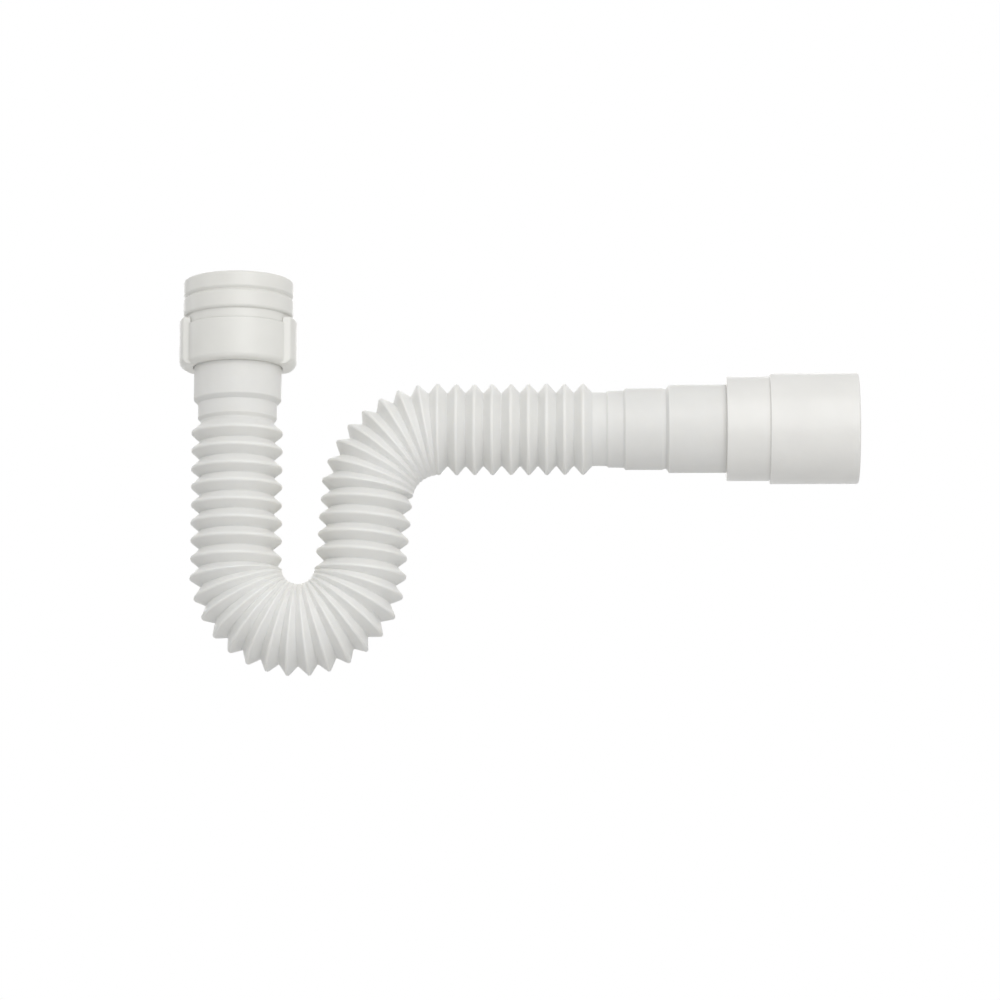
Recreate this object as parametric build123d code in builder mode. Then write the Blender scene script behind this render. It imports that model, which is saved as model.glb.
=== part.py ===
from build123d import *
import os

# Clearances between pieces
TURN_CLEARANCE = 0.3        # round pieces that turn on each other
FACE_CLEARANCE = 0.1        # flat faces that turn on each other
THREAD_CLEARANCE = 0.15     # plain cylinders that stand for a screw thread
PUSH_CLEARANCE = 0.05       # spigot in the sleeve pushed over it
WASHER_CLEARANCE = 0.2      # washer in its recess

# Inlet adapter, turned profile, lengths counted down from the rim
MOUTH_RADIUS = 20.95        # female 1 1/4 inch parallel pipe thread
MOUTH_DEPTH = 12.5
RECESS_STEP = 0.95          # washer recess inside the thread, along the radius
UPPER_BAND = 8.1
LOWER_BAND = 8.8
BAND_STEP = 1.7             # bands over the collar, along the radius
BAND_ROUND = 1.2
GROOVE_DEPTH = 1.2          # also half the width of the groove between the bands
COLLAR_STEP = 1.15          # collar over the shank, along the radius
COLLAR_LENGTH = 4.2
SHANK_LENGTH = 13.15        # male union thread inside the coupling nut
SHANK_CHAMFER = 1.0
WATERWAY_RADIUS = 16.0

# Rubber washers
WASTE_WASHER = 2.0
WASHER_HOLE_STEP = 1.0      # its hole over the waterway, along the radius
UNION_WASHER = 2.0
UNION_WASHER_WIDTH = 4.6

# Coupling nut with two broad grip lugs
NUT_WALL = 1.95             # wall over the thread
NUT_SHOULDER = 2.4          # lip under the flange of the bellows
NUT_FOOT_ROUND = 2.2
NUT_HEAD_CHAMFER = 0.5
LUG_THICKNESS = 2.5         # lug over the nut's wall
LUG_WIDTH = 22.0
LUG_RISE = 2.7              # lug top over the nut's rim
LUG_FOOT_ROUND = 2.6
LUG_HEAD_ROUND = 0.8

# Bellows piece, blow-moulded in one skin
WALL = 1.0                  # skin thickness along the radius
TUBE_RADIUS = 20.0          # plain end that the flange stands on
FLANGE_LIP = 1.6            # flange over the plain end, along the radius
FLANGE_STEP = 0.7           # flange inside the shank's radius
FLANGE_THICKNESS = 1.8
TUBE_LENGTH = 19.25         # from the flange's top face
TUBE_SHOULDER = 2.0
RING_RADIUS = 18.0
RING_LENGTH = 6.6
RING_SHOULDER = 1.4
INLET_NECK = 1.3

CREST_RADIUS = 20.8
VALLEY_RADIUS = 16.3
LEG_PITCH = 8.3             # fold pitch down the inlet leg
RISER_PITCH = 8.1           # fold pitch up the riser
RUN_PITCH = 8.25            # fold pitch along the outlet run
LEG_HALF_FOLDS = 16         # a half fold goes from a valley to a crest or back
U_HALF_FOLDS = 31
RISER_HALF_FOLDS = 9
ELBOW_HALF_FOLDS = 17
RUN_HALF_FOLDS = 17
U_RADIUS = 28.3             # centre line of the water-seal bend
ELBOW_RADIUS = 32.5         # centre line of the bend to the outlet run
RISER_LEAN = 4.75           # riser off the vertical, in degrees

OUTLET_NECK = 6.4
OUTLET_NECK_SHOULDER = 0.9
OUTLET_RING_RADIUS = 17.5
OUTLET_RING_LENGTH = 6.9
CUFF_SHOULDER = 1.0
CUFF_RADIUS = 18.65
CUFF_LENGTH = 16.5
CUFF_GROOVE_RADIUS = 18.0
CUFF_GROOVE_FALL = 2.2
SPIGOT_SHOULDER = 1.6
SPIGOT_RADIUS = 20.1
SPIGOT_SHOWN = 25.5         # spigot outside the sleeve
SPIGOT_HIDDEN = 22.0        # spigot pushed into the sleeve

# Outlet sleeve, two outside steps for two pipe sizes
STEP_RADIUS = 23.9
STEP_LENGTH = 19.7
STEP_CHAMFER = 0.4
OUTLET_RADIUS = 25.35
OUTLET_LENGTH = 40.5
OUTLET_CHAMFER = 0.8
SLEEVE_WALL = 2.6           # wall of the large end
SLEEVE_STOP = 2.0           # ring that stops the spigot

# Radii of the inlet stack, from the bellows piece outwards
FLANGE_RADIUS = TUBE_RADIUS + FLANGE_LIP
SHANK_RADIUS = FLANGE_RADIUS + FLANGE_STEP
COLLAR_RADIUS = SHANK_RADIUS + COLLAR_STEP
BAND_RADIUS = COLLAR_RADIUS + BAND_STEP
NUT_THREAD_RADIUS = SHANK_RADIUS + THREAD_CLEARANCE
NUT_RADIUS = NUT_THREAD_RADIUS + NUT_WALL
LUG_RADIUS = NUT_RADIUS + LUG_THICKNESS
RECESS_RADIUS = MOUTH_RADIUS - RECESS_STEP

# Heights of the inlet stack, from the rim of the adapter at zero
groove_z = -UPPER_BAND
bands_z = groove_z - LOWER_BAND
collar_z = bands_z - COLLAR_LENGTH
shank_z = collar_z - SHANK_LENGTH
seat_z = -MOUTH_DEPTH - WASTE_WASHER
flange_z = shank_z - UNION_WASHER
flange_foot_z = flange_z - FLANGE_THICKNESS
nut_top_z = collar_z - FACE_CLEARANCE
nut_shoulder_z = flange_foot_z - FACE_CLEARANCE
nut_foot_z = nut_shoulder_z - NUT_SHOULDER


def corner_of(profile, across, up):
    """The corner of a profile that lies nearest to a point of its own plane."""
    return profile.vertices().sort_by_distance((across, up))[0]


def inlet_skin_outline():
    """Outside of the bellows piece from the flange to the first fold, as (radius, height)."""
    tube_z = flange_z - TUBE_LENGTH
    ring_z = tube_z - TUBE_SHOULDER
    ring_foot_z = ring_z - RING_LENGTH
    neck_z = ring_foot_z - RING_SHOULDER
    return [
        (TUBE_RADIUS, flange_z),
        (TUBE_RADIUS, tube_z),
        (RING_RADIUS, ring_z),
        (RING_RADIUS, ring_foot_z),
        (VALLEY_RADIUS, neck_z),
        (VALLEY_RADIUS, neck_z - INLET_NECK),
    ]


def fold_radius(number):
    """Outside radius at the end of a half fold: crests and valleys take turns, from a valley."""
    return CREST_RADIUS if number % 2 else VALLEY_RADIUS


def outlet_skin_outline(start, start_radius):
    """Outside of the bellows piece from the last fold to the spigot's end, as (along, radius)."""
    steps = [
        (0, start_radius),
        (OUTLET_NECK, VALLEY_RADIUS),
        (OUTLET_NECK_SHOULDER, OUTLET_RING_RADIUS),
        (OUTLET_RING_LENGTH, OUTLET_RING_RADIUS),
        (CUFF_SHOULDER, CUFF_RADIUS),
        (CUFF_LENGTH, CUFF_RADIUS),
        (CUFF_GROOVE_FALL, CUFF_GROOVE_RADIUS),
        (SPIGOT_SHOULDER, SPIGOT_RADIUS),
        (SPIGOT_SHOWN + SPIGOT_HIDDEN, SPIGOT_RADIUS),
    ]
    outline = []
    along = start
    for length, radius in steps:
        along += length
        outline.append((along, radius))
    return outline


# Centre line of the folds: leg, water-seal bend, riser, elbow and outlet run
inlet_outline = inlet_skin_outline()
fold_start_z = inlet_outline[-1][1]
with BuildLine(Plane.XZ) as route:
    leg = Line((0, fold_start_z), (0, fold_start_z - LEG_HALF_FOLDS * LEG_PITCH / 2))
    u_bend = JernArc(leg @ 1, leg % 1, U_RADIUS, 180 - RISER_LEAN)
    riser = PolarLine(u_bend @ 1, RISER_HALF_FOLDS * RISER_PITCH / 2, direction=u_bend % 1)
    elbow = JernArc(riser @ 1, riser % 1, ELBOW_RADIUS, RISER_LEAN - 90)
    run = PolarLine(elbow @ 1, RUN_HALF_FOLDS * RUN_PITCH / 2, direction=elbow % 1)

stretches = [
    (leg, LEG_HALF_FOLDS),
    (u_bend, U_HALF_FOLDS),
    (riser, RISER_HALF_FOLDS),
    (elbow, ELBOW_HALF_FOLDS),
    (run, RUN_HALF_FOLDS),
]
sideways = (0, 1, 0)
fold_planes = [
    Plane(stretch @ (half / halves), x_dir=sideways, z_dir=stretch % (half / halves))
    for stretch, halves in stretches
    for half in range(halves)
]
fold_planes.append(Plane(run @ 1, x_dir=sideways, z_dir=run % 1))

run_end = run @ 1
outlet_axis = Axis((run_end.X, 0, run_end.Z), (1, 0, 0))
outlet_outline = outlet_skin_outline(run_end.X, fold_radius(len(fold_planes) - 1))
spigot_end_x = outlet_outline[-1][0]
sleeve_x = spigot_end_x - SPIGOT_HIDDEN

os.makedirs("parts", exist_ok=True)

# Inlet adapter: two rounded bands, a collar and the male shank, bored right through
with BuildPart() as inlet_adapter:
    with BuildSketch(Plane.XZ) as adapter_profile:
        with BuildLine():
            Polyline(
                (MOUTH_RADIUS, 0),
                (BAND_RADIUS, 0),
                (BAND_RADIUS, groove_z + GROOVE_DEPTH),
                (BAND_RADIUS - GROOVE_DEPTH, groove_z),
                (BAND_RADIUS, groove_z - GROOVE_DEPTH),
                (BAND_RADIUS, bands_z),
                (COLLAR_RADIUS, bands_z),
                (COLLAR_RADIUS, collar_z),
                (SHANK_RADIUS, collar_z),
                (SHANK_RADIUS, shank_z),
                (WATERWAY_RADIUS, shank_z),
                (WATERWAY_RADIUS, seat_z),
                (RECESS_RADIUS, seat_z),
                (RECESS_RADIUS, -MOUTH_DEPTH),
                (MOUTH_RADIUS, -MOUTH_DEPTH),
                close=True,
            )
        make_face()
        fillet(adapter_profile.vertices().group_by(Axis.X)[-1], BAND_ROUND)
        chamfer(corner_of(adapter_profile, SHANK_RADIUS, shank_z), SHANK_CHAMFER)
    revolve(axis=Axis.Z)
inlet_adapter.part.label = "inlet_adapter"
export_step(inlet_adapter.part, "parts/inlet_adapter.step")

# Rubber washer that the sink waste is screwed down on
with BuildPart() as waste_washer:
    with BuildSketch(Plane.XY.offset(seat_z)):
        Circle(RECESS_RADIUS - WASHER_CLEARANCE)
        Circle(WATERWAY_RADIUS + WASHER_HOLE_STEP, mode=Mode.SUBTRACT)
    extrude(amount=WASTE_WASHER)
waste_washer.part.label = "waste_washer"
export_step(waste_washer.part, "parts/waste_washer.step")

# Rubber washer squeezed between the shank and the flange of the bellows
with BuildPart() as union_washer:
    with BuildSketch(Plane.XY.offset(flange_z)):
        Circle(FLANGE_RADIUS)
        Circle(FLANGE_RADIUS - UNION_WASHER_WIDTH, mode=Mode.SUBTRACT)
    extrude(amount=UNION_WASHER)
union_washer.part.label = "union_washer"
export_step(union_washer.part, "parts/union_washer.step")

# Coupling nut: a turned body hooked under the flange, with a broad grip lug at each side
with BuildPart() as coupling_nut:
    lug_top_z = nut_top_z + LUG_RISE
    lug_inside = COLLAR_RADIUS + TURN_CLEARANCE
    hole_radius = TUBE_RADIUS + TURN_CLEARANCE
    nut_inside = [
        (hole_radius, nut_foot_z),
        (hole_radius, nut_shoulder_z),
        (NUT_THREAD_RADIUS, nut_shoulder_z),
        (NUT_THREAD_RADIUS, nut_top_z),
    ]
    with BuildSketch(Plane.YZ) as lug_profile:
        with BuildLine():
            lug_outside = [
                (lug_inside, nut_top_z),
                (lug_inside, lug_top_z),
                (LUG_RADIUS, lug_top_z),
                (LUG_RADIUS, nut_foot_z),
            ]
            Polyline(*nut_inside, *lug_outside, close=True)
        make_face()
        fillet(corner_of(lug_profile, LUG_RADIUS, lug_top_z), LUG_HEAD_ROUND)
        fillet(corner_of(lug_profile, LUG_RADIUS, nut_foot_z), LUG_FOOT_ROUND)
    revolve(axis=Axis.Z)
    with BuildSketch(Plane.XY.offset(nut_foot_z)):
        Rectangle(2 * LUG_RADIUS + LUG_WIDTH, LUG_WIDTH)
    extrude(amount=lug_top_z - nut_foot_z, mode=Mode.INTERSECT)
    with BuildSketch(Plane.YZ) as nut_profile:
        with BuildLine():
            Polyline(*nut_inside, (NUT_RADIUS, nut_top_z), (NUT_RADIUS, nut_foot_z), close=True)
        make_face()
        fillet(corner_of(nut_profile, NUT_RADIUS, nut_foot_z), NUT_FOOT_ROUND)
        chamfer(corner_of(nut_profile, NUT_RADIUS, nut_top_z), NUT_HEAD_CHAMFER)
    revolve(axis=Axis.Z)
coupling_nut.part.label = "coupling_nut"
export_step(coupling_nut.part, "parts/coupling_nut.step")

# Bellows piece: the folds are ruled from circle to circle along the centre line
with BuildPart() as bellows_tube:
    for inset, skin_mode in ((0, Mode.ADD), (WALL, Mode.SUBTRACT)):
        for number, fold_plane in enumerate(fold_planes):
            with BuildSketch(fold_plane):
                Circle(fold_radius(number) - inset)
        loft(ruled=True, mode=skin_mode)
    with BuildSketch(Plane.XZ):
        with BuildLine():
            inside = [(radius - WALL, height) for radius, height in reversed(inlet_outline)]
            Polyline(*inlet_outline, *inside, close=True)
        make_face()
    revolve(axis=Axis.Z)
    with BuildSketch(Plane.XY.offset(flange_foot_z)):
        Circle(FLANGE_RADIUS)
        Circle(TUBE_RADIUS - WALL, mode=Mode.SUBTRACT)
    extrude(amount=FLANGE_THICKNESS)
    with BuildSketch(Plane.XZ):
        with BuildLine():
            outside = [(along, run_end.Z + radius) for along, radius in outlet_outline]
            inside = [(along, run_end.Z + radius - WALL) for along, radius in reversed(outlet_outline)]
            Polyline(*outside, *inside, close=True)
        make_face()
    revolve(axis=outlet_axis)
bellows_tube.part.label = "bellows_tube"
export_step(bellows_tube.part, "parts/bellows_tube.step")

# Outlet sleeve: pushed over the spigot up to a stop ring, open at the large end
with BuildPart() as outlet_sleeve:
    socket_radius = SPIGOT_RADIUS + PUSH_CLEARANCE
    stop_x = spigot_end_x + FACE_CLEARANCE
    outlet_x = sleeve_x + STEP_LENGTH
    end_x = outlet_x + OUTLET_LENGTH
    with BuildSketch(Plane.XZ) as sleeve_profile:
        with BuildLine():
            outline = [
                (sleeve_x, socket_radius),
                (sleeve_x, STEP_RADIUS),
                (outlet_x, STEP_RADIUS),
                (outlet_x, OUTLET_RADIUS),
                (end_x, OUTLET_RADIUS),
                (end_x, OUTLET_RADIUS - SLEEVE_WALL),
                (stop_x + SLEEVE_STOP, OUTLET_RADIUS - SLEEVE_WALL),
                (stop_x + SLEEVE_STOP, SPIGOT_RADIUS - WALL),
                (stop_x, SPIGOT_RADIUS - WALL),
                (stop_x, socket_radius),
            ]
            Polyline(*[(along, run_end.Z + radius) for along, radius in outline], close=True)
        make_face()
        chamfer(corner_of(sleeve_profile, sleeve_x, run_end.Z + STEP_RADIUS), STEP_CHAMFER)
        chamfer(corner_of(sleeve_profile, outlet_x, run_end.Z + OUTLET_RADIUS), STEP_CHAMFER)
        chamfer(corner_of(sleeve_profile, end_x, run_end.Z + OUTLET_RADIUS), OUTLET_CHAMFER)
    revolve(axis=outlet_axis)
outlet_sleeve.part.label = "outlet_sleeve"
export_step(outlet_sleeve.part, "parts/outlet_sleeve.step")
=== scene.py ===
import math
from typing import NamedTuple

import bpy
import numpy as np
from bpy.props import FloatProperty, FloatVectorProperty, IntProperty, PointerProperty
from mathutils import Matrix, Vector


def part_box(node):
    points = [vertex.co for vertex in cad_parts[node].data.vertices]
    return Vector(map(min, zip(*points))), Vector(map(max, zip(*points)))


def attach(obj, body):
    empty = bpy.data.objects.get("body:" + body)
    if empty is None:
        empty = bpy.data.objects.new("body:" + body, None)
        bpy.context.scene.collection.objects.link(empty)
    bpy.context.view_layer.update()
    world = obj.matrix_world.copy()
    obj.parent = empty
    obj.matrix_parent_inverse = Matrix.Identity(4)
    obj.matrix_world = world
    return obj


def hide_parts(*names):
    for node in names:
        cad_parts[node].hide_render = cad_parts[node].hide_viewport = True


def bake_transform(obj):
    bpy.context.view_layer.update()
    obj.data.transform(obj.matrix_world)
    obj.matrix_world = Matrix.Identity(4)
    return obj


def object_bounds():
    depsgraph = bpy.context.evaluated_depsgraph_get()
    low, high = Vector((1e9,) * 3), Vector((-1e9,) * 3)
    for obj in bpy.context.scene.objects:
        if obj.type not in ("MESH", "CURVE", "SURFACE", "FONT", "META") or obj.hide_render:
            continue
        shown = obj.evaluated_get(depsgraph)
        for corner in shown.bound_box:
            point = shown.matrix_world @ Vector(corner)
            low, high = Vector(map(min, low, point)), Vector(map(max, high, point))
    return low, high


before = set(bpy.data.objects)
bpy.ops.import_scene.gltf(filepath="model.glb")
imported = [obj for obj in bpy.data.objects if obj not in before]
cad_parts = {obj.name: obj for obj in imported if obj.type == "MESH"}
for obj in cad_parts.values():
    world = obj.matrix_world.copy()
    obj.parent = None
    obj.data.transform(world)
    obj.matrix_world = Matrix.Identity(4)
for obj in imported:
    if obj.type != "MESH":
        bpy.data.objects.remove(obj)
cad_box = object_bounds()

bl_info = {
    "name": "Flexible sink trap",
    "version": (1, 0, 0),
    "blender": (4, 5, 0),
    "location": "3D View > Sidebar > Trap",
    "description": "Dresses the packed flexible trap: bellows, union, outlet sleeve and stage",
    "category": "Object",
}

MM = 0.001

# Places that come from the frame
BELLOWS_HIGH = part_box("bellows_tube")[1]
ADAPTER_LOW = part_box("inlet_adapter")[0]
NUT_LOW, NUT_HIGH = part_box("coupling_nut")
SLEEVE_LOW, SLEEVE_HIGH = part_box("outlet_sleeve")
OUTLET_AXIS_Z = (SLEEVE_LOW.z + SLEEVE_HIGH.z) / 2

# Fineness of the meshes
TURNED_SEGMENTS = 128
CREST_STEPS = 6
VALLEY_STEPS = 3
THREAD_POINTS = 72          # points in one turn of thread
LUG_STEPS = 9               # from a lug's middle to its edge
LUG_EDGE_STEPS = 5
LUG_ROOT_STEPS = 4
NUT_BODY_STEPS = 14         # from a lug's root to the middle of the round side

# Folds of the bellows
HALF_FOLDS = {"leg": 16, "u_bend": 31, "riser": 9, "elbow": 17, "run": 17}
UNEVEN_SEED = 11
UNEVEN_TIPS = 0.7           # unevenness of the radii, as a share of that of the places
LIFT_ROUNDS = 8             # rounds until the sharp corners settle

# Turns of thread in the mouth
THREAD_START = 1.0 * MM     # under the rim
THREAD_SUNK = 0.12 * MM     # foot of the turns inside the wall
THREAD_HALF_WIDTH = 0.46    # share of the pitch
THREAD_CREST = 0.18         # width of the flat top, as a share of the foot's
THREAD_RUN_OUT = 0.35       # share of a turn over which the height fades
THREAD_LEAST = 0.02         # height left at the ends, as a share of the depth

# Skin of the nut
LUG_ROOT_GAP = 0.05 * MM    # keeps the lug's side apart from its root
LUG_ROOT_FALL = 0.35        # share of the lug's side that falls before the root
LUG_TRACE = 0.012           # trace of a lug that goes all round, so that no face is without height
BODY_SETTLING = 4           # the faces have turned to the axis after a quarter of the round side
NUT_QUARTERS = ((0, 1), (1, -1), (1, 1), (2, -1))  # half turns to a quarter's lug, and its way round

# Grain of the plastics and the rubber
NOISE_SPAN = (0.3, 0.7)     # values that most of a noise lies between
WHOLE = (0.0, 1.0)
SPECK_SPAN = (0.66, 0.78)
SPECK_SHARES = (0.0, 0.10)
CLOUD_TINTS = (0.975, 1.02)
SPECK_TINT = 0.86
GLOSS_SWING = 0.05
PEEL_HEIGHT = 0.25 * MM
MOULDED_PEEL = 0.12
BLOWN_PEEL = 0.16
PLASTIC_IOR = 1.49
GLOW_RADII = (1.0, 0.95, 0.85)
GLOW_DEPTH = 3.0 * MM
RUBBER_TINT = 1.7
RUBBER_ROUGHNESS = (0.62, 0.8)
RUBBER_GRAIN = 0.25
RUBBER_GRAIN_HEIGHT = 0.15 * MM

# Sockets of a colour mix, whose names it shares with its other kinds
MIX_LOW, MIX_HIGH, MIX_RESULT = 6, 7, 2

# Stage
FLOOR_HALF = 4.0
FLOOR_POINTS = 9
FLOOR_FADE = (0.5, 1.2)     # distances over which the floor turns white
FLOOR_GLOW = (0.45, 1.0)
CAMERA_CLIP = 100.0


def length(name, default, description):
    """A length property, with its default given in millimetres."""
    return FloatProperty(
        name=name, description=description, default=default * MM, unit="LENGTH", precision=5
    )


def angle(name, default, description):
    """An angle property, with its default given in degrees."""
    return FloatProperty(
        name=name, description=description, default=math.radians(default), unit="ROTATION"
    )


def colour(name, default, description):
    """A colour property."""
    return FloatVectorProperty(
        name=name, description=description, default=default, subtype="COLOR", min=0, max=1
    )


def share(name, default, description):
    """A property between nothing and all."""
    return FloatProperty(
        name=name, description=description, default=default, min=0, max=1, subtype="FACTOR"
    )


def power(name, default, description):
    """A lamp's power, in watts."""
    return FloatProperty(name=name, description=description, default=default, unit="POWER")


class TrapBellowsSizes(bpy.types.PropertyGroup):
    """Sizes of the blow-moulded bellows piece."""

    wall: length("Wall", 1.0, "Thickness of the skin along the radius")
    flange_radius: length("Flange", 21.6, "Outside radius of the flange inside the nut")
    flange_thickness: length("Flange thickness", 1.8, "Thickness of the flange inside the nut")
    tube_radius: length("Plain end", 20.0, "Outside radius of the plain end under the nut")
    tube_length: length("Plain end length", 19.25, "Length of the plain end, from the flange's top")
    tube_shoulder: length("Plain end shoulder", 2.0, "Length of the slope from the plain end to the ring")
    ring_radius: length("Inlet ring", 18.0, "Outside radius of the ring above the first fold")
    ring_length: length("Inlet ring length", 6.6, "Length of the ring above the first fold")
    ring_shoulder: length("Inlet ring shoulder", 1.4, "Length of the slope from the ring to the neck")
    inlet_neck: length("Inlet neck", 1.3, "Length of the neck above the first fold")
    crest_radius: length("Crest", 20.8, "Outside radius at the top of a fold")
    valley_radius: length("Valley", 16.8, "Outside radius at the foot of a fold")
    crest_round: length("Crest round", 1.1, "Rounding of the crests")
    valley_round: length("Valley round", 0.55, "Rounding of the valleys")
    leg_pitch: length("Leg pitch", 8.3, "Fold pitch down the inlet leg")
    riser_pitch: length("Riser pitch", 8.1, "Fold pitch up the riser")
    run_pitch: length("Run pitch", 8.25, "Fold pitch along the outlet run")
    u_radius: length("Water seal bend", 28.3, "Centre line radius of the lower bend")
    elbow_radius: length("Elbow", 32.5, "Centre line radius of the upper bend")
    riser_lean: angle("Riser lean", 4.75, "Riser off the vertical")
    fold_closing: share("Fold closing", 0.95, "How far the folds close on the inside of a bend")
    crest_reach: length("Crest reach", 0.45, "Crests standing out on the outside of a bend")
    unevenness: length("Unevenness", 0.16, "How far a fold may stand off its even place")
    outlet_neck: length("Outlet neck", 6.4, "Length of the neck after the last fold")
    outlet_neck_shoulder: length("Outlet neck shoulder", 0.9, "Length of the slope from the neck to the ring")
    outlet_ring_radius: length("Outlet ring", 17.5, "Outside radius of the ring after the neck")
    outlet_ring_swell: length("Outlet ring swell", 0.1, "How much the ring widens towards the cuff")
    outlet_ring_length: length("Outlet ring length", 6.9, "Length of the ring after the neck")
    cuff_shoulder: length("Cuff shoulder", 1.0, "Length of the slope from the ring to the cuff")
    cuff_radius: length("Cuff", 18.65, "Outside radius of the cuff")
    cuff_length: length("Cuff length", 16.5, "Length of the cuff")
    groove_fall: length("Groove fall", 1.8, "Length of the slope from the cuff into the groove")
    groove_radius: length("Groove", 18.0, "Outside radius at the foot of the groove")
    spigot_shoulder: length("Spigot shoulder", 1.4, "Length of the slope from the groove to the spigot")
    spigot_radius: length("Spigot", 20.1, "Outside radius of the spigot")
    spigot_length: length("Spigot length", 48.1, "Length of the spigot, with its end inside the sleeve")
    segments: IntProperty(name="Segments", description="Facets around the tube", default=96, min=24)


class TrapUnionSizes(bpy.types.PropertyGroup):
    """Sizes of the inlet adapter and the coupling nut."""

    mouth_radius: length("Mouth", 20.95, "Thread radius of the inlet mouth")
    mouth_depth: length("Mouth depth", 12.5, "Depth of the thread in the mouth")
    thread_pitch: length("Thread pitch", 2.309, "Distance between two turns of thread")
    thread_depth: length("Thread depth", 1.3, "Height of the thread's turns")
    thread_margin: length("Thread margin", 2.4, "Depth of the mouth that has no turns of thread")
    recess_radius: length("Recess", 20.0, "Radius of the washer's recess under the thread")
    washer_thickness: length("Washer", 2.0, "Height of the washer's recess")
    waterway_radius: length("Waterway", 16.0, "Radius of the bore through the adapter")
    band_radius: length("Bands", 25.15, "Outside radius of the two bands")
    upper_band: length("Upper band", 8.1, "Height of the upper band, to the middle of the groove")
    lower_band: length("Lower band", 8.8, "Height of the lower band, from the middle of the groove")
    groove_depth: length("Groove", 1.2, "Depth of the groove between the bands, and half its width")
    collar_radius: length("Collar", 23.45, "Outside radius of the collar under the bands")
    collar_length: length("Collar length", 4.2, "Height of the collar under the bands")
    shank_radius: length("Shank", 22.3, "Outside radius of the shank inside the nut")
    nut_radius: length("Nut", 24.4, "Outside radius of the nut's round body")
    nut_thread_radius: length("Nut thread", 22.45, "Radius of the nut's bore, over the shank")
    nut_hole_radius: length("Nut hole", 20.3, "Radius of the hole for the plain end of the bellows")
    nut_shoulder: length("Nut shoulder", 2.4, "Thickness of the lip under the flange")
    lug_radius: length("Lugs", 26.9, "Outside radius over the grip lugs")
    lug_inside_radius: length("Lug inside", 23.75, "Inside radius of the lugs, beside the collar")
    lug_width: length("Lug width", 22.0, "Width of a grip lug")
    lug_rise: length("Lug rise", 2.7, "Height of the lugs over the nut's rim")
    lug_edge: length("Lug edge", 0.7, "Rounding of the lugs' upright edges")
    lug_root: length("Lug root", 0.5, "Rounding where the lugs stand on the nut")


class TrapOutletSizes(bpy.types.PropertyGroup):
    """Sizes of the sleeve on the outlet."""

    step_radius: length("Small step", 23.9, "Outside radius of the step next to the bellows")
    step_length: length("Step length", 19.7, "Length of the small step")
    outlet_radius: length("Large step", 25.35, "Outside radius of the outlet")
    wall: length("Wall", 2.6, "Wall of the large step")
    socket_radius: length("Socket", 20.15, "Bore that the spigot is pushed into")
    stop_gap: length("Stop gap", 0.1, "Gap between the spigot's end and the stop ring")
    stop_length: length("Stop length", 2.0, "Length of the stop ring")
    stop_height: length("Stop height", 1.05, "Height of the stop ring inside the socket")


class TrapFinish(bpy.types.PropertyGroup):
    """Colours and gloss of the materials."""

    # The union's white is set darker and warmer than the sleeve's. The darkness is painted shade, for the
    # weaker light that reaches the inlet end.
    union: colour("Union plastic", (0.755, 0.75, 0.715), "Colour of the inlet adapter and the nut")
    sleeve: colour("Sleeve plastic", (0.775, 0.768, 0.742), "Colour of the outlet sleeve")
    blown: colour("Bellows plastic", (0.80, 0.79, 0.752), "Colour of the plain ends of the bellows")
    # Painted light: a paler white laid on the folds, most in the valleys and the bends. It stands in for
    # light shining through the thin walls and lifts the shade between the folds.
    painted_fold_light: colour("Thin plastic", (0.925, 0.915, 0.865), "Paler colour where the folds are blown thin")
    painted_light_crests: share("Thin crests", 0.4, "Paleness of the crests, beside that of the valleys")
    painted_light_straights: share("Thin straights", 0.6, "Paleness of the straight stretches")
    painted_light_bends: share("Thin bends", 0.8, "Paleness of the bends")
    rubber: colour("Washer rubber", (0.035, 0.035, 0.036), "Colour of the washers")
    moulded_rough: share("Moulded roughness", 0.34, "Mean roughness of the moulded pieces")
    blown_rough: share("Bellows roughness", 0.5, "Mean roughness of the bellows")
    moulded_glow: share("Moulded glow", 0.15, "Light that sinks into the moulded pieces")
    blown_glow: share("Bellows glow", 0.6, "Light that sinks into the bellows")


class TrapStage(bpy.types.PropertyGroup):
    """Camera, lamps and floor."""

    floor_drop: length("Floor", 420.0, "Distance of the floor under the trap")
    floor_grey: share("Floor grey", 0.74, "Grey of the floor in its own light")
    camera_distance: length("Camera distance", 2200.0, "Distance of the camera from the trap's plane")
    camera_across: length("Camera across", 160.0, "Place of the camera along the outlet run")
    camera_height: length("Camera height", -520.0, "Height of the camera from the inlet's rim")
    aim_across: length("Aim across", 120.0, "Place of the picture's middle along the outlet run")
    aim_height: length("Aim height", -102.1, "Height of the picture's middle from the inlet's rim")
    picture_width: length("Picture width", 455.0, "Width of the picture at the trap")
    key_power: power("Key", 7.2, "Power of the large soft lamp")
    front_power: power("Front", 3.7, "Power of the low front lamp")
    back_power: power("Back", 4.0, "Power of the lamp behind the trap")
    side_power: power("Side", 0.8, "Power of the strip at the left")
    sky: share("Sky", 0.59, "Brightness of the room around the trap")


def mix(low, high, amount):
    """Value between two others."""
    return low + (high - low) * amount


def soft_step(distance, ramp):
    """A soft step from nothing to all, half way up where the distance is nothing."""
    value = min(1.0, max(0.0, distance / ramp + 0.5))
    return value * value * (3 - 2 * value)


class Corner(NamedTuple):
    """A corner of an outline: its place, the radius of its rounded edge and the steps round it."""

    along: float
    radius: float
    edge: float
    steps: int


def corner(along, radius, edge, steps):
    """A corner whose rounded edge is given in millimetres."""
    return Corner(along, radius, edge * MM, steps)


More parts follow.
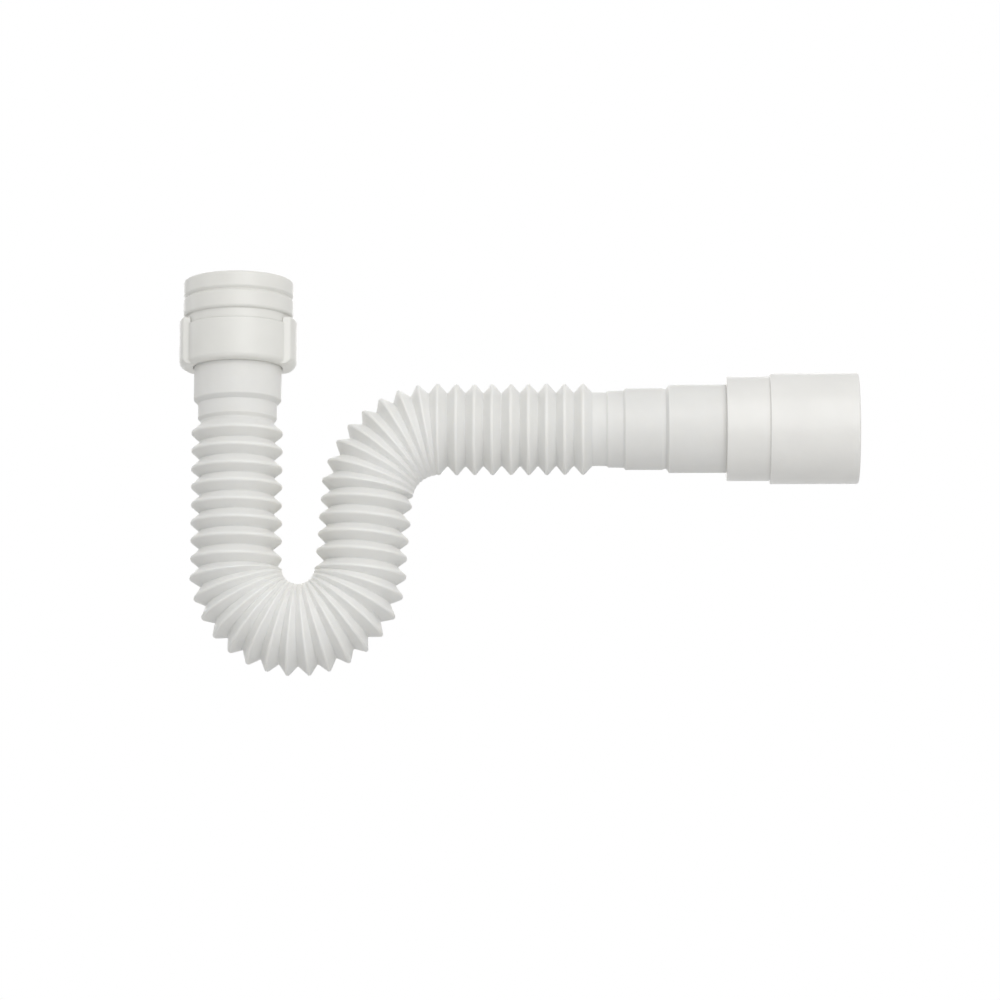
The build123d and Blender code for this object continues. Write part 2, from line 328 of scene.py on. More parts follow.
def rounded(corners):
    """Points of a closed outline, as (along, radius), with its corners rounded off."""
    points = []
    for number, (along, radius, edge, steps) in enumerate(corners):
        here = np.array((along, radius))
        if steps == 0:
            points.append(here)
            continue
        back = np.array(corners[number - 1][:2]) - here
        ahead = np.array(corners[(number + 1) % len(corners)][:2]) - here
        back /= np.linalg.norm(back)
        ahead /= np.linalg.norm(ahead)
        half = math.acos(np.clip(back @ ahead, -1.0, 1.0)) / 2
        reach = edge / math.tan(half)
        inward = (back + ahead) / np.linalg.norm(back + ahead)
        centre = here + inward * edge / math.sin(half)
        start = here + back * reach - centre
        end = here + ahead * reach - centre
        sweep = math.copysign(math.pi - 2 * half, start[0] * end[1] - start[1] * end[0])
        for turn in np.linspace(0, sweep, steps + 1):
            cos, sin = math.cos(turn), math.sin(turn)
            points.append(centre + (start[0] * cos - start[1] * sin, start[0] * sin + start[1] * cos))
    return np.array(points)


def grid_mesh(name, rings, closed_along=True, closed_around=True, capped=False, smooth=True):
    """A mesh of four-sided faces over rings of points, which is welded where it closes."""
    rings = np.asarray(rings, float)
    along, around = rings.shape[:2]
    number = np.arange(along * around).reshape(along, around)
    caps = [number[0, ::-1].tolist(), number[-1].tolist()] if capped else []
    if closed_along:
        number = np.vstack([number, number[:1]])
    if closed_around:
        number = np.hstack([number, number[:, :1]])
    faces = np.stack([number[:-1, :-1], number[:-1, 1:], number[1:, 1:], number[1:, :-1]], -1)
    mesh = bpy.data.meshes.new(name)
    mesh.from_pydata(rings.reshape(-1, 3).tolist(), [], faces.reshape(-1, 4).tolist() + caps)
    mesh.validate()
    mesh.polygons.foreach_set("use_smooth", np.full(len(mesh.polygons), smooth))
    mesh.update()
    piece = bpy.data.objects.new(name, mesh)
    bpy.context.scene.collection.objects.link(piece)
    return piece


def outward(piece):
    """Turns all faces outwards, by the sign of the volume."""
    mesh = piece.data
    mesh.calc_loop_triangles()
    points = np.array([vertex.co for vertex in mesh.vertices])
    triangles = np.array([triangle.vertices for triangle in mesh.loop_triangles])
    first, second, third = points[triangles].transpose(1, 0, 2)
    if np.einsum("ij,ij->i", first, np.cross(second, third)).sum() < 0:
        mesh.flip_normals()


def even_normals(piece):
    """Keeps flat faces flat beside their small rounds."""
    piece.modifiers.new("even_normals", "WEIGHTED_NORMAL")


def turned(name, outline, axis):
    """A turned piece: an outline spun about the upright axis Z or the outlet's level axis X."""
    turn = np.linspace(0, 2 * math.pi, TURNED_SEGMENTS, endpoint=False)
    along, radius = outline[:, :1], outline[:, 1:]
    across, beside = radius * np.cos(turn), radius * np.sin(turn)
    level = np.broadcast_to(along, across.shape)
    if axis == "Z":
        rings = np.stack([across, beside, level], -1)
    else:
        rings = np.stack([level, beside, across + OUTLET_AXIS_Z], -1)
    piece = grid_mesh(name, rings)
    outward(piece)
    even_normals(piece)
    return piece


class Stretch(NamedTuple):
    """A straight or evenly bent stretch of a line in an upright plane."""

    begin: float
    reach: float
    start: np.ndarray
    heading: float
    turn: float

    def at(self, along):
        """Point and heading at a length along the whole line."""
        gone = along - self.begin
        if self.turn == 0:
            way = np.array((math.cos(self.heading), math.sin(self.heading)))
            return self.start + gone * way, self.heading
        now = self.heading + self.turn * gone / self.reach
        across = math.sin(now) - math.sin(self.heading)
        up = math.cos(self.heading) - math.cos(now)
        return self.start + self.reach / self.turn * np.array((across, up)), now


class Route:
    """The centre line of the bellows, whose straight first and last stretches go on beyond its ends."""

    def __init__(self, start, heading):
        self.stretches = []
        self.total = 0.0
        self.end = np.array(start, float)
        self.heading = heading

    def add(self, reach, turn=0.0):
        """Goes on by a length, with a turn to the left."""
        stretch = Stretch(self.total, reach, self.end, self.heading, turn)
        self.stretches.append(stretch)
        self.total += reach
        self.end, self.heading = stretch.at(self.total)

    def at(self, along):
        """Point and heading at a length along the line."""
        stretch = self.stretches[0]
        for later in self.stretches[1:]:
            if later.begin <= along:
                stretch = later
        return stretch.at(along)

    def bend(self, along, ramp):
        """How fully the line is bent: one in a bend to the left, minus one to the right."""
        total = 0.0
        for begin, reach, _, _, turn in self.stretches:
            if turn:
                within = soft_step(along - begin, ramp) * soft_step(begin + reach - along, ramp)
                total += math.copysign(within, turn)
        return total


def inlet_length(sizes):
    """Length of the bellows piece from the flange's top to the first fold."""
    rings = sizes.tube_length + sizes.tube_shoulder + sizes.ring_length
    return rings + sizes.ring_shoulder + sizes.inlet_neck


def bellows_route(sizes):
    """Centre line from the first fold to the last, and the length along it of each half fold."""
    route = Route((0.0, BELLOWS_HIGH.z - inlet_length(sizes)), -math.pi / 2)
    u_turn = math.pi - sizes.riser_lean
    elbow_turn = math.pi / 2 - sizes.riser_lean
    route.add(HALF_FOLDS["leg"] * sizes.leg_pitch / 2)
    route.add(u_turn * sizes.u_radius, u_turn)
    route.add(HALF_FOLDS["riser"] * sizes.riser_pitch / 2)
    route.add(elbow_turn * sizes.elbow_radius, -elbow_turn)
    route.add(HALF_FOLDS["run"] * sizes.run_pitch / 2)
    halves = []
    for stretch, count in zip(route.stretches, HALF_FOLDS.values()):
        halves.extend(stretch.begin + stretch.reach * np.arange(count) / count)
    halves.append(route.total)
    return route, np.array(halves)


def inlet_corners(sizes):
    """Outside of the bellows piece from the flange to the first fold."""
    neck = -sizes.inlet_neck
    ring_foot = neck - sizes.ring_shoulder
    ring_top = ring_foot - sizes.ring_length
    tube_foot = ring_top - sizes.tube_shoulder
    top = -inlet_length(sizes)
    flange_foot = top + sizes.flange_thickness
    return [
        corner(top, sizes.flange_radius, edge=0.2, steps=2),
        corner(flange_foot, sizes.flange_radius, edge=0.2, steps=2),
        corner(flange_foot, sizes.tube_radius, edge=0.2, steps=2),
        corner(tube_foot, sizes.tube_radius, edge=1.1, steps=5),
        corner(ring_top, sizes.ring_radius, edge=0.5, steps=3),
        corner(ring_foot, sizes.ring_radius, edge=0.6, steps=4),
        corner(neck, sizes.valley_radius, edge=0.5, steps=3),
    ]


def outlet_corners(sizes, start):
    """Outside of the bellows piece from the last fold to the spigot's end."""
    neck = start + sizes.outlet_neck
    ring = neck + sizes.outlet_neck_shoulder
    ring_end = ring + sizes.outlet_ring_length
    cuff = ring_end + sizes.cuff_shoulder
    cuff_end = cuff + sizes.cuff_length
    groove = cuff_end + sizes.groove_fall
    spigot = groove + sizes.spigot_shoulder
    end = spigot + sizes.spigot_length
    ring_end_radius = sizes.outlet_ring_radius + sizes.outlet_ring_swell
    return [
        corner(neck, sizes.valley_radius, edge=0.4, steps=3),
        corner(ring, sizes.outlet_ring_radius, edge=0.5, steps=4),
        corner(ring_end, ring_end_radius, edge=0.4, steps=3),
        corner(cuff, sizes.cuff_radius, edge=0.5, steps=4),
        corner(cuff_end, sizes.cuff_radius, edge=0.9, steps=5),
        corner(groove, sizes.groove_radius, edge=0.5, steps=4),
        corner(spigot, sizes.spigot_radius, edge=0.35, steps=4),
        corner(end, sizes.spigot_radius, edge=0.4, steps=3),
    ]


def settled_lift(sizes, rounds, spacing):
    """How far the sharp corner of each half fold stands beyond its rounded tip."""
    lift = np.zeros(len(spacing))
    for _ in range(LIFT_ROUNDS):
        beside = (np.roll(lift, 1) + np.roll(lift, -1)) / 2
        slope = np.arctan(spacing / (sizes.crest_radius - sizes.valley_radius + lift + beside))
        lift = rounds * (1 / np.sin(slope) - 1)
    return lift


def bellows_corners(sizes, halves):
    """Corners of the outside and of the inside, from the flange to the spigot."""
    wild = np.random.default_rng(UNEVEN_SEED)
    count = len(halves)
    crest = np.arange(count) % 2 == 1
    loose = np.ones(count)
    loose[[0, -1]] = 0
    along = halves + loose * wild.uniform(-1, 1, count) * sizes.unevenness
    tips = np.where(crest, sizes.crest_radius, sizes.valley_radius)
    tips = tips + loose * wild.uniform(-UNEVEN_TIPS, UNEVEN_TIPS, count) * sizes.unevenness
    spacing = np.gradient(halves)
    rounds = np.where(crest, sizes.crest_round, sizes.valley_round) * (spacing / spacing.max()) ** 2
    sharp = tips + loose * np.where(crest, 1, -1) * settled_lift(sizes, rounds, spacing)
    steps = np.where(crest, CREST_STEPS, VALLEY_STEPS)
    inlet = inlet_corners(sizes)
    outlet = outlet_corners(sizes, halves[-1])
    outside = inlet + [Corner(*fold) for fold in zip(along, sharp, rounds, steps)] + outlet
    flange, _, tube, *plain_inlet = inlet
    folds = [Corner(place, radius, 0, 0) for place, radius in zip(along, tips)]
    inside = [tube._replace(along=flange.along)] + plain_inlet + folds + outlet
    return outside, [Corner(a, r - sizes.wall, edge / 2, min(n, 1)) for a, r, edge, n in inside]


def bellows_piece(sizes, finish):
    """The bellows as one closed skin along its route, with a mask of painted light over its folds."""
    route, halves = bellows_route(sizes)
    outside, inside = bellows_corners(sizes, halves)
    outline = rounded(outside + inside[::-1])
    outside_points = sum(place.steps + 1 for place in outside)
    skin = np.where(np.arange(len(outline)) < outside_points, 0.0, sizes.wall)
    rise = sizes.crest_radius - sizes.valley_radius
    height = np.clip((outline[:, 1] + skin - sizes.valley_radius) / rise, 0, 1)
    turn = np.linspace(0, 2 * math.pi, sizes.segments, endpoint=False)
    rings, painted_fold_light = [], []
    for (along, plain), high in zip(outline, height):
        (x, z), heading = route.at(along)
        bend = route.bend(along, sizes.leg_pitch)
        inner = bend * np.cos(turn)
        shut = (inner + abs(bend)) / 2
        radius = plain + shut * sizes.fold_closing * rise * (1 - high)
        radius = radius + sizes.crest_reach * high * np.clip(-inner, 0, 1)
        out = radius * np.cos(turn)
        ring = (x - math.sin(heading) * out, radius * np.sin(turn), z + math.cos(heading) * out)
        rings.append(np.stack(ring, -1))
        # Painted light: the mask is strongest in the valleys and the bends, weaker on the crests, and fades
        # out on the plain ends.
        folded = soft_step(along, sizes.leg_pitch) * soft_step(route.total - along, sizes.leg_pitch)
        fold_light_share = mix(finish.painted_light_straights, finish.painted_light_bends, abs(bend))
        painted_fold_light.append(folded * fold_light_share * mix(1.0, finish.painted_light_crests, high))
    piece = grid_mesh("bellows_skin", rings)
    outward(piece)
    fold_light_mask = piece.data.attributes.new("painted_fold_light", "FLOAT", "POINT")
    fold_light_mask.data.foreach_set("value", np.repeat(painted_fold_light, sizes.segments).astype(np.float32))
    even_normals(piece)
    return piece, route


def adapter_piece(sizes):
    """The inlet adapter, with its rounded bands, collar, shank and bored mouth."""
    groove = -sizes.upper_band
    groove_top, groove_foot = groove + sizes.groove_depth, groove - sizes.groove_depth
    bands_foot = groove - sizes.lower_band
    collar_foot = bands_foot - sizes.collar_length
    foot = ADAPTER_LOW.z
    mouth_foot = -sizes.mouth_depth
    seat = mouth_foot - sizes.washer_thickness
    outline = rounded([
        corner(0.0, sizes.mouth_radius, edge=0.5, steps=3),
        corner(0.0, sizes.band_radius, edge=1.2, steps=6),
        corner(groove_top, sizes.band_radius, edge=1.2, steps=5),
        corner(groove, sizes.band_radius - sizes.groove_depth, edge=0.25, steps=3),
        corner(groove_foot, sizes.band_radius, edge=1.0, steps=5),
        corner(bands_foot, sizes.band_radius, edge=1.5, steps=6),
        corner(bands_foot, sizes.collar_radius, edge=0.35, steps=3),
        corner(collar_foot, sizes.collar_radius, edge=0.1, steps=2),
        corner(collar_foot, sizes.shank_radius, edge=0.2, steps=2),
        corner(foot, sizes.shank_radius, edge=1.0, steps=3),
        corner(foot, sizes.waterway_radius, edge=0.3, steps=2),
        corner(seat, sizes.waterway_radius, edge=0.2, steps=2),
        corner(seat, sizes.recess_radius, edge=0.1, steps=1),
        corner(mouth_foot, sizes.recess_radius, edge=0.1, steps=1),
        corner(mouth_foot, sizes.mouth_radius, edge=0.1, steps=1),
    ])
    return turned("inlet_adapter_body", outline, "Z")


def thread_piece(sizes):
    """The turns of thread in the inlet's mouth, running out at both ends."""
    turns = (sizes.mouth_depth - sizes.thread_margin) / sizes.thread_pitch
    last = int(THREAD_POINTS * turns)
    point = np.arange(last + 1)[:, np.newaxis]
    turn = point * 2 * math.pi / THREAD_POINTS
    to_end = np.minimum(point, last - point)
    height = np.clip(to_end / (THREAD_POINTS * THREAD_RUN_OUT), THREAD_LEAST, 1)
    half = sizes.thread_pitch * THREAD_HALF_WIDTH
    up = half * np.array((-1, -THREAD_CREST, THREAD_CREST, 1))
    high = np.array((0, 1, 1, 0))
    level = -THREAD_START - sizes.thread_pitch * point / THREAD_POINTS - half + up
    radius = sizes.mouth_radius + THREAD_SUNK - (sizes.thread_depth + THREAD_SUNK) * height * high
    rings = np.stack([radius * np.cos(turn), radius * np.sin(turn), level], -1)
    piece = grid_mesh("inlet_thread_turns", rings, closed_along=False, capped=True, smooth=False)
    outward(piece)
    return piece


def on_ray(turn):
    """A place on the nut at one angle from its lug's middle."""
    return lambda radius: turn


def on_plane(beside):
    """A place on the nut at one distance beside its lug's middle."""
    return lambda radius: math.asin(min(1.0, beside / radius))


def settling(plane, turn, gone):
    """A place on the nut that goes over from a plane to a ray, on the way to the round side's middle."""
    settled = min(1.0, gone * BODY_SETTLING)
    return lambda radius: mix(mix(plane(radius), math.pi / 2, gone), turn, settled)


def nut_places(sizes):
    """Places round a quarter of the nut, from a lug's middle: share of the lug, and angle by radius."""
    side, edge = sizes.lug_width / 2, sizes.lug_edge
    rise = sizes.lug_radius - sizes.nut_radius
    flat = math.asin((side - edge) / sizes.lug_radius)
    places = [(1.0, on_ray(flat * step / LUG_STEPS)) for step in range(LUG_STEPS)]
    for turn in np.linspace(0, math.pi / 2, LUG_EDGE_STEPS + 1):
        amount = 1 - edge * (1 - math.cos(turn)) / rise
        places.append((amount, on_plane(side - edge + edge * math.sin(turn))))
    low = 1 - edge / rise
    root = side + LUG_ROOT_GAP
    for turn in np.linspace(0, math.pi / 2, LUG_ROOT_STEPS + 1)[1:]:
        amount = mix(low, 0.0, mix(LUG_ROOT_FALL, 1.0, math.sin(turn)))
        places.append((amount, on_plane(root + sizes.lug_root * (1 - math.cos(turn)))))
    foot = root + sizes.lug_root
    start = math.asin(foot / sizes.nut_radius)
    for gone in np.linspace(0, 1, NUT_BODY_STEPS + 1)[1:]:
        places.append((0.0, settling(on_plane(foot), mix(start, math.pi / 2, gone), gone)))
    return places


def nut_outline(sizes, amount):
    """Outline of the nut in one place, with a share of the lug's height and thickness."""
    foot = NUT_LOW.z
    shoulder = foot + sizes.nut_shoulder
    rim = NUT_HIGH.z - sizes.lug_rise
    top = rim + sizes.lug_rise * max(amount, LUG_TRACE)
    outer = mix(sizes.nut_radius, sizes.lug_radius, amount)
    return rounded([
        corner(foot, sizes.nut_hole_radius, edge=0.4, steps=3),
        corner(shoulder, sizes.nut_hole_radius, edge=0.1, steps=1),
        corner(shoulder, sizes.nut_thread_radius, edge=0.1, steps=1),
        corner(rim, sizes.nut_thread_radius, edge=0.1, steps=1),
        corner(rim, sizes.lug_inside_radius, edge=0.01, steps=1),
        corner(top, sizes.lug_inside_radius, edge=mix(0.01, 0.4, amount), steps=2),
        corner(top, outer, edge=mix(0.8, 1.0, amount), steps=5),
        corner(foot, outer, edge=mix(2.8, 3.2, amount), steps=8),
    ])


def nut_piece(sizes):
    """The coupling nut with its two grip lugs, as one skin."""
    quarter = nut_places(sizes)
    rings = []
    for half_turns, way in NUT_QUARTERS:
        for amount, place in quarter[::way][:-1]:
            height, radius = nut_outline(sizes, amount).T
            turn = np.array([half_turns * math.pi + way * place(distance) for distance in radius])
            rings.append(np.stack([radius * np.cos(turn), radius * np.sin(turn), height], -1))
    piece = grid_mesh("coupling_nut_body", rings)
    outward(piece)
    even_normals(piece)
    return piece


def sleeve_piece(sizes):
    """The stepped outlet sleeve with its stop ring."""
    start, end = SLEEVE_LOW.x, SLEEVE_HIGH.x
    step = start + sizes.step_length
    stop = BELLOWS_HIGH.x + sizes.stop_gap
    stop_end = stop + sizes.stop_length
    stop_radius = sizes.socket_radius - sizes.stop_height
    inside = sizes.outlet_radius - sizes.wall
    outline = rounded([
        corner(start, sizes.socket_radius, edge=0.3, steps=2),
        corner(start, sizes.step_radius, edge=0.5, steps=4),
        corner(step, sizes.step_radius, edge=0.15, steps=2),
        corner(step, sizes.outlet_radius, edge=0.5, steps=4),
        corner(end, sizes.outlet_radius, edge=0.9, steps=5),
        corner(end, inside, edge=0.6, steps=4),
        corner(stop_end, inside, edge=0.3, steps=2),
        corner(stop_end, stop_radius, edge=0.3, steps=2),
        corner(stop, stop_radius, edge=0.2, steps=2),
        corner(stop, sizes.socket_radius, edge=0.1, steps=1),
    ])
    return turned("outlet_sleeve_body", outline, "X")


def new_material(name):
    """An empty node material with its shader and output."""
    material = bpy.data.materials.new(name)
    material.use_nodes = True
    tree = material.node_tree
    tree.nodes.clear()
    shader = tree.nodes.new("ShaderNodeBsdfPrincipled")
    output = tree.nodes.new("ShaderNodeOutputMaterial")
    tree.links.new(shader.outputs["BSDF"], output.inputs["Surface"])
    return material, tree, shader


def noise(tree, place, scale, detail, rough=0.5):
    """A cloud of grey over the piece, by its place in metres."""
    cloud = tree.nodes.new("ShaderNodeTexNoise")
    cloud.inputs["Scale"].default_value = scale
    cloud.inputs["Detail"].default_value = detail
    cloud.inputs["Roughness"].default_value = rough
    tree.links.new(place, cloud.inputs["Vector"])
    return cloud.outputs["Fac"]


def spread(tree, value, span, result):
    """A value moved from one range to another."""
    ranged = tree.nodes.new("ShaderNodeMapRange")
    limits = {"From Min": span[0], "From Max": span[1], "To Min": result[0], "To Max": result[1]}
    for name, limit in limits.items():
        ranged.inputs[name].default_value = limit
    tree.links.new(value, ranged.inputs["Value"])
    return ranged.outputs["Result"]


def blend_colours(tree, amount, low, high):
    """A colour between two, each a link or a plain colour."""
    mixer = tree.nodes.new("ShaderNodeMix")
    mixer.data_type = "RGBA"
    tree.links.new(amount, mixer.inputs["Factor"])
    for number, value in ((MIX_LOW, low), (MIX_HIGH, high)):
        if isinstance(value, bpy.types.NodeSocket):
            tree.links.new(value, mixer.inputs[number])
        else:
            mixer.inputs[number].default_value = (*value, 1.0)
    return mixer.outputs[MIX_RESULT]


def raise_grain(tree, shader, height, strength, distance):
    """Fine relief on a shader."""
    bump = tree.nodes.new("ShaderNodeBump")
    bump.inputs["Strength"].default_value = strength
    bump.inputs["Distance"].default_value = distance
    tree.links.new(height, bump.inputs["Height"])
    tree.links.new(bump.outputs["Normal"], shader.inputs["Normal"])


def tinted(base, factor):
    """A colour made lighter or darker."""
    return tuple(min(1.0, channel * factor) for channel in base)


def white_plastic(name, base, rough, peel, glow, painted_fold_light=None):
    """Waxy white polypropylene: faint clouds, fine orange peel, uneven gloss and light that sinks in."""
    material, tree, shader = new_material(name)
    place = tree.nodes.new("ShaderNodeTexCoord").outputs["Object"]
    cloud = spread(tree, noise(tree, place, scale=55.0, detail=3.0), NOISE_SPAN, WHOLE)
    tone = blend_colours(tree, cloud, *[tinted(base, tint) for tint in CLOUD_TINTS])
    speck = spread(tree, noise(tree, place, scale=1400.0, detail=2.0), SPECK_SPAN, SPECK_SHARES)
    tone = blend_colours(tree, speck, tone, tinted(base, SPECK_TINT))
    # Painted light: the mask lays a paler white on the folds, in place of light shining through the thin
    # walls.
    if painted_fold_light is not None:
        fold_light_mask = tree.nodes.new("ShaderNodeAttribute")
        fold_light_mask.attribute_name = "painted_fold_light"
        tone = blend_colours(tree, fold_light_mask.outputs["Fac"], tone, painted_fold_light)
    tree.links.new(tone, shader.inputs["Base Color"])
    gloss = noise(tree, place, scale=260.0, detail=4.0, rough=0.6)
    gloss = spread(tree, gloss, NOISE_SPAN, (rough - GLOSS_SWING, rough + GLOSS_SWING))
    tree.links.new(gloss, shader.inputs["Roughness"])
    ripple = noise(tree, place, scale=420.0, detail=3.0, rough=0.55)
    raise_grain(tree, shader, ripple, peel, PEEL_HEIGHT)
    shader.inputs["IOR"].default_value = PLASTIC_IOR
    shader.inputs["Subsurface Weight"].default_value = glow
    shader.inputs["Subsurface Radius"].default_value = GLOW_RADII
    shader.inputs["Subsurface Scale"].default_value = GLOW_DEPTH
    return material


def moulded_white(name, base, finish):
    """The white of an injection-moulded piece."""
    return white_plastic(name, tuple(base), finish.moulded_rough, MOULDED_PEEL, finish.moulded_glow)


def union_white_painted_shade(finish):
    """The material of the inlet adapter and the nut, made once."""
    # Its colour holds painted shade: darker than the sleeve's white because less light reaches the inlet end.
    found = bpy.data.materials.get("union_white_satin")
    return found or moulded_white("union_white_satin", finish.union, finish)


def bellows_white(finish):
    """The white of the blow-moulded bellows, with painted light that makes its folds paler."""
    rough, glow = finish.blown_rough, finish.blown_glow
    plain, painted_fold_light = tuple(finish.blown), tuple(finish.painted_fold_light)
    return white_plastic("bellows_white_satin", plain, rough, BLOWN_PEEL, glow, painted_fold_light)


def washer_rubber(finish):
    """Matt black rubber with a fine grain."""
    material, tree, shader = new_material("washer_rubber_grain")
    place = tree.nodes.new("ShaderNodeTexCoord").outputs["Object"]
    grain = noise(tree, place, scale=900.0, detail=4.0, rough=0.6)
    dark = tuple(finish.rubber)
    tone = blend_colours(tree, spread(tree, grain, NOISE_SPAN, WHOLE), dark, tinted(dark, RUBBER_TINT))
    tree.links.new(tone, shader.inputs["Base Color"])
    tree.links.new(spread(tree, grain, NOISE_SPAN, RUBBER_ROUGHNESS), shader.inputs["Roughness"])
    raise_grain(tree, shader, grain, RUBBER_GRAIN, RUBBER_GRAIN_HEIGHT)
    return material


def dress(piece, material, body, slot, *nodes):
    """Gives a piece its material, its body and the solids that it stands for; the finish slot is not used."""
    piece.data.materials.clear()
    piece.data.materials.append(material)
    if body:
        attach(piece, body)
    if nodes:
        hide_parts(*nodes)


class TRAP_OT_bellows(bpy.types.Operator):
    """Makes the blow-moulded bellows"""

    bl_idname = "trap.bellows"
    bl_label = "Bellows"

    def execute(self, context):
        finish = context.scene.trap_finish
        piece, route = bellows_piece(context.scene.trap_bellows, finish)
        dress(piece, bellows_white(finish), None, "bellows_white", "bellows_tube")
        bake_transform(piece)
        return {"FINISHED"}


class TRAP_OT_inlet(bpy.types.Operator):
    """Makes the inlet adapter and the turns of thread in its mouth"""

    bl_idname = "trap.inlet"
    bl_label = "Inlet adapter"

    def execute(self, context):
        sizes, white = context.scene.trap_union, union_white_painted_shade(context.scene.trap_finish)
        dress(adapter_piece(sizes), white, "inlet", "moulded_white", "inlet_adapter")
        dress(thread_piece(sizes), white, "inlet", "moulded_white")
        return {"FINISHED"}


class TRAP_OT_nut(bpy.types.Operator):
    """Makes the coupling nut with its grip lugs"""

    bl_idname = "trap.nut"
    bl_label = "Coupling nut"

    def execute(self, context):
        sizes, white = context.scene.trap_union, union_white_painted_shade(context.scene.trap_finish)
        dress(nut_piece(sizes), white, "nut", "moulded_white", "coupling_nut")
        return {"FINISHED"}


class TRAP_OT_outlet(bpy.types.Operator):
    """Makes the stepped sleeve on the outlet"""

    bl_idname = "trap.outlet"
    bl_label = "Outlet sleeve"

    def execute(self, context):
        sizes, finish = context.scene.trap_outlet, context.scene.trap_finish
        white = moulded_white("sleeve_white_satin", finish.sleeve, finish)
        dress(sleeve_piece(sizes), white, "outlet", "moulded_white", "outlet_sleeve")
        return {"FINISHED"}


class TRAP_OT_washers(bpy.types.Operator):
    """Gives the two washers their rubber"""

    bl_idname = "trap.washers"
    bl_label = "Washers"

    def execute(self, context):
        rubber = washer_rubber(context.scene.trap_finish)
        for name in ("waste_washer", "union_washer"):
            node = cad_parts[name]
            node.data.materials.clear()
            node.data.materials.append(rubber)
        return {"FINISHED"}


def lamp(name, target, offset, size, energy):
    """A soft rectangular lamp that stands off from a point and faces it."""
    light = bpy.data.lights.new(name, "AREA")
    light.shape = "RECTANGLE"
    light.size, light.size_y = size
    light.energy = energy
    holder = bpy.data.objects.new(name, light)
    holder.location = target + Vector(offset)
    holder.rotation_euler = (-Vector(offset)).to_track_quat("-Z", "Y").to_euler()
    bpy.context.scene.collection.objects.link(holder)


def seen_directly(tree):
    """One where the camera, a mirror or clear stuff looks straight at a surface, and nothing elsewhere."""
    path = tree.nodes.new("ShaderNodeLightPath")
    total = path.outputs["Is Camera Ray"]
    for name in ("Is Glossy Ray", "Is Transmission Ray"):
        most = tree.nodes.new("ShaderNodeMath")
        most.operation = "MAXIMUM"
        tree.links.new(total, most.inputs[0])
        tree.links.new(path.outputs[name], most.inputs[1])
        total = most.outputs[0]
    return total


def white_room(sky):
    """A room that looks white and lights the trap softly."""
    world = bpy.data.worlds.new("white_room")
    world.use_nodes = True
    tree = world.node_tree
    background = tree.nodes["Background"]
    background.inputs["Color"].default_value = (1, 1, 1, 1)
    tree.links.new(spread(tree, seen_directly(tree), WHOLE, (sky, 1.0)), background.inputs["Strength"])
    return world


def white_floor(grey):
    """Pale floor that looks white and keeps the shadow."""
    material = bpy.data.materials.new("pale_floor")
    material.use_nodes = True
    tree = material.node_tree
    tree.nodes.clear()
    diffuse = tree.nodes.new("ShaderNodeBsdfDiffuse")
    diffuse.inputs["Color"].default_value = (grey, grey, grey, 1)
    glow = tree.nodes.new("ShaderNodeEmission")
    place = tree.nodes.new("ShaderNodeNewGeometry")
    reach = tree.nodes.new("ShaderNodeVectorMath")
    reach.operation = "LENGTH"
    tree.links.new(place.outputs["Position"], reach.inputs[0])
    far = spread(tree, reach.outputs["Value"], FLOOR_FADE, FLOOR_GLOW)
    shown = tree.nodes.new("ShaderNodeMath")
    shown.operation = "MULTIPLY"
    tree.links.new(seen_directly(tree), shown.inputs[0])
    tree.links.new(far, shown.inputs[1])
    mixer = tree.nodes.new("ShaderNodeMixShader")
    for number, part in enumerate((shown, diffuse, glow)):
        tree.links.new(part.outputs[0], mixer.inputs[number])
    output = tree.nodes.new("ShaderNodeOutputMaterial")
    tree.links.new(mixer.outputs[0], output.inputs["Surface"])
    return material


def add_floor(stage):
    """The level floor under the trap."""
    level = cad_box[0].z - stage.floor_drop
    line = np.linspace(-FLOOR_HALF, FLOOR_HALF, FLOOR_POINTS)
    rows = [[(x, y, level) for x in line] for y in line]
    floor = grid_mesh("floor", rows, closed_along=False, closed_around=False)
    floor.data.materials.append(white_floor(stage.floor_grey))


def add_lamps(stage):
    """Soft lamps above, in front, behind and at the left."""
    middle = (cad_box[0] + cad_box[1]) / 2
    lamp("key", middle, offset=(0.2, -1.30, 0.88), size=(1.4, 1.0), energy=stage.key_power)
    lamp("front", middle, offset=(0.35, -1.2, 0.05), size=(0.9, 0.7), energy=stage.front_power)
    lamp("back", middle, offset=(-0.2, 1.3, 0.5), size=(1.2, 0.9), energy=stage.back_power)
    lamp("side", middle, offset=(-1.2, 0.35, 0.15), size=(0.35, 0.9), energy=stage.side_power)


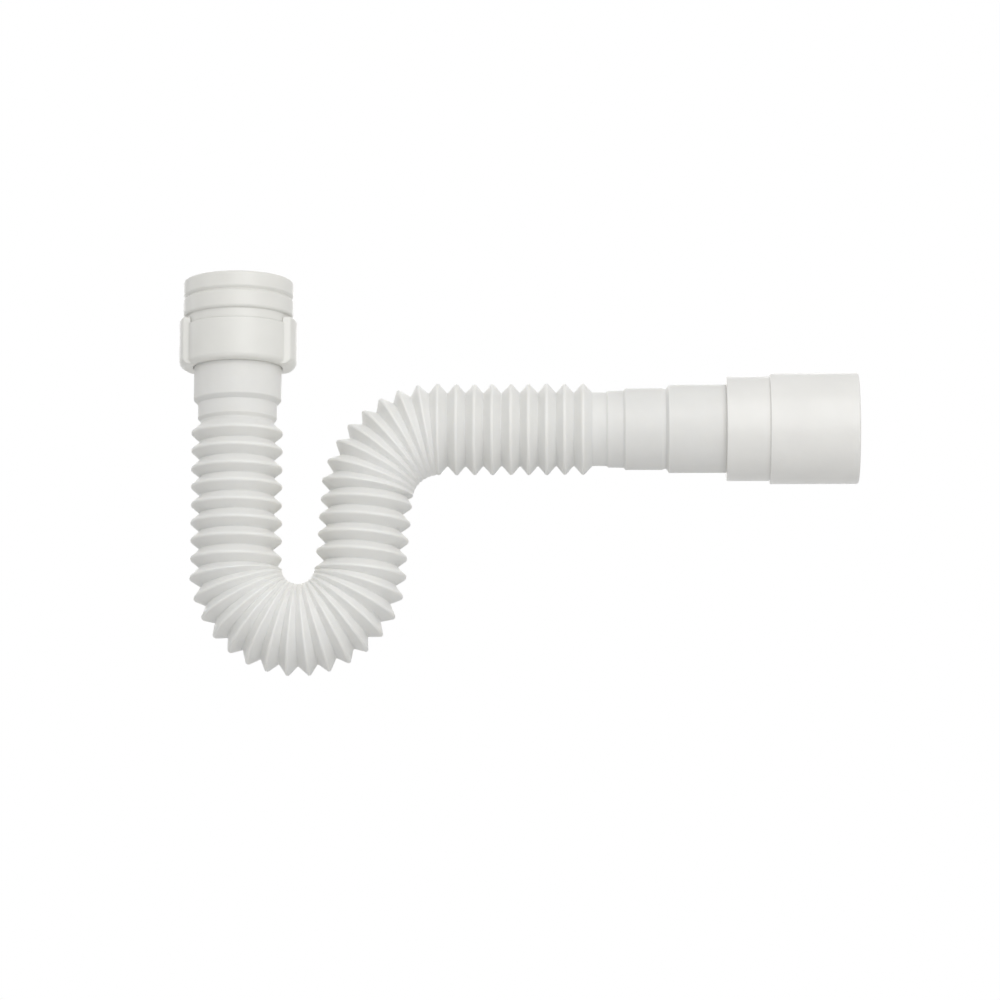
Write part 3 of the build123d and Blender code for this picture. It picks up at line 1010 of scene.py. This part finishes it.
def add_camera(stage):
    """A far camera that looks up at the trap a little."""
    place = Vector((stage.camera_across, -stage.camera_distance, stage.camera_height))
    aim = Vector((stage.aim_across, 0, stage.aim_height)) - place
    camera = bpy.data.cameras.new("camera")
    camera.lens = camera.sensor_width * aim.length / stage.picture_width
    camera.clip_end = CAMERA_CLIP
    holder = bpy.data.objects.new("camera", camera)
    holder.location = place
    holder.rotation_euler = aim.to_track_quat("-Z", "Y").to_euler()
    bpy.context.scene.collection.objects.link(holder)
    bpy.context.scene.camera = holder


class TRAP_OT_stage(bpy.types.Operator):
    """Makes the floor, the lamps, the room and the camera"""

    bl_idname = "trap.stage"
    bl_label = "Stage"

    def execute(self, context):
        stage = context.scene.trap_stage
        add_floor(stage)
        add_lamps(stage)
        add_camera(stage)
        context.scene.world = white_room(stage.sky)
        context.scene.view_settings.view_transform = "Standard"
        return {"FINISHED"}


class VIEW3D_PT_trap(bpy.types.Panel):
    """Lists the sizes, the finish and the steps"""

    bl_label = "Flexible trap"
    bl_space_type = "VIEW_3D"
    bl_region_type = "UI"
    bl_category = "Trap"

    def draw(self, context):
        for group in GROUPS:
            box = self.layout.box()
            settings = getattr(context.scene, group)
            for name in settings.bl_rna.properties.keys():
                if name not in ("rna_type", "name"):
                    box.prop(settings, name)
        for step in STEPS:
            self.layout.operator(step.bl_idname)


GROUPS = {
    "trap_bellows": TrapBellowsSizes,
    "trap_union": TrapUnionSizes,
    "trap_outlet": TrapOutletSizes,
    "trap_finish": TrapFinish,
    "trap_stage": TrapStage,
}
STEPS = (TRAP_OT_bellows, TRAP_OT_inlet, TRAP_OT_nut, TRAP_OT_outlet, TRAP_OT_washers, TRAP_OT_stage)


def register():
    for group in GROUPS.values():
        bpy.utils.register_class(group)
    for name, group in GROUPS.items():
        setattr(bpy.types.Scene, name, PointerProperty(type=group))
    for step in (*STEPS, VIEW3D_PT_trap):
        bpy.utils.register_class(step)


def unregister():
    for step in (VIEW3D_PT_trap, *STEPS[::-1]):
        bpy.utils.unregister_class(step)
    for name, group in GROUPS.items():
        delattr(bpy.types.Scene, name)
        bpy.utils.unregister_class(group)


def main():
    register()
    bpy.ops.trap.bellows()
    bpy.ops.trap.inlet()
    bpy.ops.trap.nut()
    bpy.ops.trap.outlet()
    bpy.ops.trap.washers()
    bpy.ops.trap.stage()
    bpy.context.view_layer.update()


if __name__ == "__main__":
    main()
